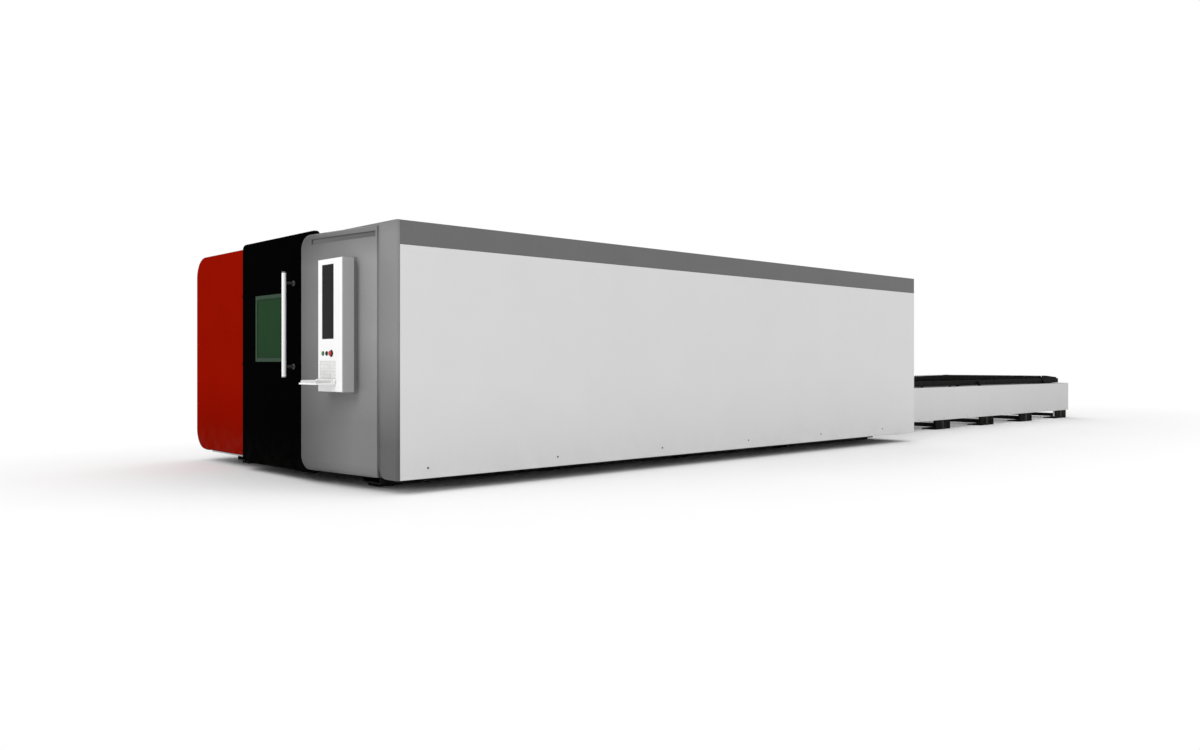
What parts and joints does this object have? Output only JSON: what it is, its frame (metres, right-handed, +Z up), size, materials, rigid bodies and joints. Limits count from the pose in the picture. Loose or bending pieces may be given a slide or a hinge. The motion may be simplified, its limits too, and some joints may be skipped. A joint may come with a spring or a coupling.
{
  "type": "laser cutting machine",
  "caption": "Enclosed sheet-metal laser cutter with sliding front door, swing console, gantry head and a two-level pallet exchange table behind it.",
  "frame": {"origin": "on the floor, under the centre of the bounding box", "axes": "+X to the machine's right seen from the front door, +Y from the door towards the exchange table, +Z up"},
  "size_m": [4.1, 15.987, 2.23],
  "materials": {
    "light_grey_paint": "satin powder coat",
    "dark_grey_paint": "satin powder coat",
    "mid_grey_paint": "satin powder coat",
    "red_paint": "gloss paint",
    "black_paint": "satin paint",
    "white_paint": "satin paint",
    "bed_paint": "semi-gloss paint",
    "machined_steel": "ground",
    "raw_steel": "mill scale, spattered",
    "zinc_plate": "plated",
    "cast_beam": "machined",
    "laser_glass": "tinted",
    "screen_glass": "gloss",
    "grey_plastic": "matt",
    "black_plastic": "matt",
    "green_plastic": "gloss",
    "red_plastic": "gloss"
  },
  "bodies": {
    "machine": {"machine_bed": "bed_paint", "bed_pads": "machined_steel", "enclosure_frame": "mid_grey_paint", "front_frame": "mid_grey_paint", "right_side_panel": "light_grey_paint", "left_side_panel": "light_grey_paint", "side_top_bands": "dark_grey_paint", "roof_panels": "dark_grey_paint", "rear_wall": "light_grey_paint", "front_left_panel": "red_paint", "front_right_panel": "mid_grey_paint", "door_rail": "machined_steel", "door_lower_guide": "zinc_plate", "gate_guides": "black_paint", "gantry_rails": "machined_steel", "gantry_racks": "machined_steel", "bed_pallet_rails": "machined_steel", "scrap_trays": "raw_steel", "fume_duct": "zinc_plate", "laser_source": "white_paint", "electrical_cabinet": "mid_grey_paint", "cable_chain": "black_plastic", "console_bracket": "dark_grey_paint", "table_frame": "black_paint", "table_covers": "light_grey_paint", "table_feet": "black_paint", "lift_guides": "machined_steel", "lift_cylinders": "zinc_plate"},
    "front_door": {"door_panel": "black_paint", "door_hanger": "dark_grey_paint", "window_frame": "black_paint", "window_glass": "laser_glass", "door_handle": "white_paint", "handle_standoffs": "dark_grey_paint"},
    "console": {"console_housing": "white_paint", "console_screen": "screen_glass"},
    "keyboard_shelf": {"keyboard_tray": "grey_plastic", "keyboard": "grey_plastic"},
    "start_button": {"start_button": "green_plastic"},
    "feed_button": {"feed_button": "black_plastic"},
    "emergency_stop": {"emergency_stop": "red_plastic"},
    "gantry": {"gantry_beam": "cast_beam", "gantry_end_carriages": "zinc_plate", "cross_rails": "machined_steel", "gantry_motors": "black_plastic"},
    "cutting_carriage": {"head_carriage": "black_plastic"},
    "cutting_head": {"head_slide": "zinc_plate", "laser_head": "cast_beam"},
    "rear_gate": {"rear_gate": "black_paint"},
    "shuttle_pallet": {"shuttle_pallet_frame": "raw_steel", "shuttle_pallet_slats": "raw_steel"},
    "wheelset_front": {"wheelset_front": "machined_steel"},
    "wheelset_middle": {"wheelset_middle": "machined_steel"},
    "wheelset_rear": {"wheelset_rear": "machined_steel"},
    "table_lift": {"lift_deck": "black_paint", "lift_rods": "machined_steel", "shuttle_drive": "black_plastic", "top_pallet_frame": "raw_steel", "top_pallet_slats": "raw_steel", "top_pallet_wheelsets": "machined_steel"}
  },
  "joints": [
    {"name": "front_door_slide", "type": "slide", "parent": "machine", "child": "front_door", "axis": [-1, 0, 0], "range_m": [0, 1.25]},
    {"name": "console_swing", "type": "hinge", "parent": "machine", "child": "console", "pos_m": [1.146, -7.7205, 1.375], "axis": [0, 0, -1], "range_deg": [0, 80]},
    {"name": "keyboard_tray_fold", "type": "hinge", "parent": "console", "child": "keyboard_shelf", "pos_m": [1.294, -7.8285, 0.916], "axis": [-1, 0, 0], "range_deg": [0, 88]},
    {"name": "start_button_press", "type": "slide", "parent": "console", "child": "start_button", "axis": [0, 1, 0], "range_m": [0, 0.006], "stiffness_N_per_m": 800, "springref_m": -0.001},
    {"name": "feed_button_press", "type": "slide", "parent": "console", "child": "feed_button", "axis": [0, 1, 0], "range_m": [0, 0.006], "stiffness_N_per_m": 800, "springref_m": -0.001},
    {"name": "emergency_stop_press", "type": "slide", "parent": "console", "child": "emergency_stop", "axis": [0, 1, 0], "range_m": [0, 0.006], "stiffness_N_per_m": 800, "springref_m": -0.001},
    {"name": "gantry_travel", "type": "slide", "parent": "machine", "child": "gantry", "axis": [0, 1, 0], "range_m": [-6, 0]},
    {"name": "head_traverse", "type": "slide", "parent": "gantry", "child": "cutting_carriage", "axis": [1, 0, 0], "range_m": [-0.98, 0.98]},
    {"name": "head_lift", "type": "slide", "parent": "cutting_carriage", "child": "cutting_head", "axis": [0, 0, 1], "range_m": [-0.295, 0]},
    {"name": "rear_gate_lift", "type": "slide", "parent": "machine", "child": "rear_gate", "axis": [0, 0, 1], "range_m": [-0.55, 0]},
    {"name": "shuttle_travel", "type": "slide", "parent": "machine", "child": "shuttle_pallet", "axis": [0, 1, 0], "range_m": [0, 7.45]},
    {"name": "table_lift_travel", "type": "slide", "parent": "machine", "child": "table_lift", "axis": [0, 0, 1], "range_m": [-0.25, 0]},
    {"name": "wheelset_front_spin", "type": "hinge", "parent": "shuttle_pallet", "child": "wheelset_front", "pos_m": [0, -5.6565, 0.4653], "axis": [1, 0, 0], "range_deg": [-8700, 100]},
    {"name": "wheelset_middle_spin", "type": "hinge", "parent": "shuttle_pallet", "child": "wheelset_middle", "pos_m": [0, -3.0115, 0.4653], "axis": [1, 0, 0], "range_deg": [-8700, 100]},
    {"name": "wheelset_rear_spin", "type": "hinge", "parent": "shuttle_pallet", "child": "wheelset_rear", "pos_m": [0, -0.3665, 0.4653], "axis": [1, 0, 0], "range_deg": [-8700, 100]}
  ],
  "couplings": [
    {"joint": "wheelset_front_spin", "follows": "shuttle_travel", "rad_per_m": -20},
    {"joint": "wheelset_middle_spin", "follows": "shuttle_travel", "rad_per_m": -20},
    {"joint": "wheelset_rear_spin", "follows": "shuttle_travel", "rad_per_m": -20}
  ]
}
